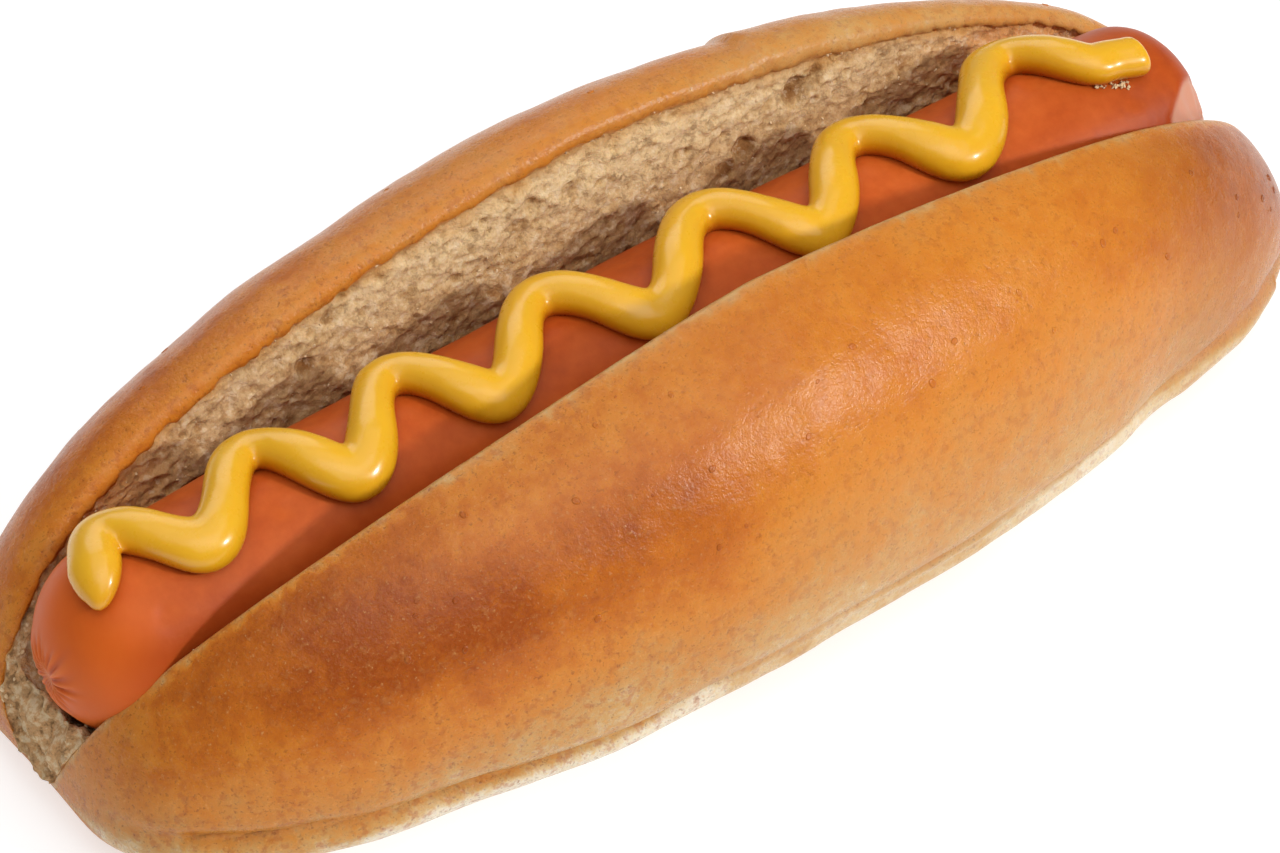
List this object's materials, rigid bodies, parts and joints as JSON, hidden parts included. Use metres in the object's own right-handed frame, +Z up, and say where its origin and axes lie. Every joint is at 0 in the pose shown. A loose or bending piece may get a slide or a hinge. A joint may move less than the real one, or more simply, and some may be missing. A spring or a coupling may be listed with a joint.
{
  "type": "hot dog",
  "caption": "A frankfurter in a soft browned roll cut open along its top, with a wavy line of mustard piped along the sausage.",
  "frame": {"origin": "on the tray, under the middle of the roll's length, at the centre of its flat underside", "axes": "+X along the roll, +Z up, -Y the side whose outer crust faces the viewer"},
  "size_m": [0.1755, 0.0745, 0.0477],
  "materials": {
    "roll_crust": "golden brown baked crust with a soft gloss, and pale open crumb inside the cut",
    "sausage_skin": "smooth orange-red cooked skin, satin",
    "mustard": "wet bright yellow paste"
  },
  "bodies": {
    "root": {"roll": "roll_crust", "sausage": "sausage_skin", "mustard": "mustard"}
  },
  "joints": []
}
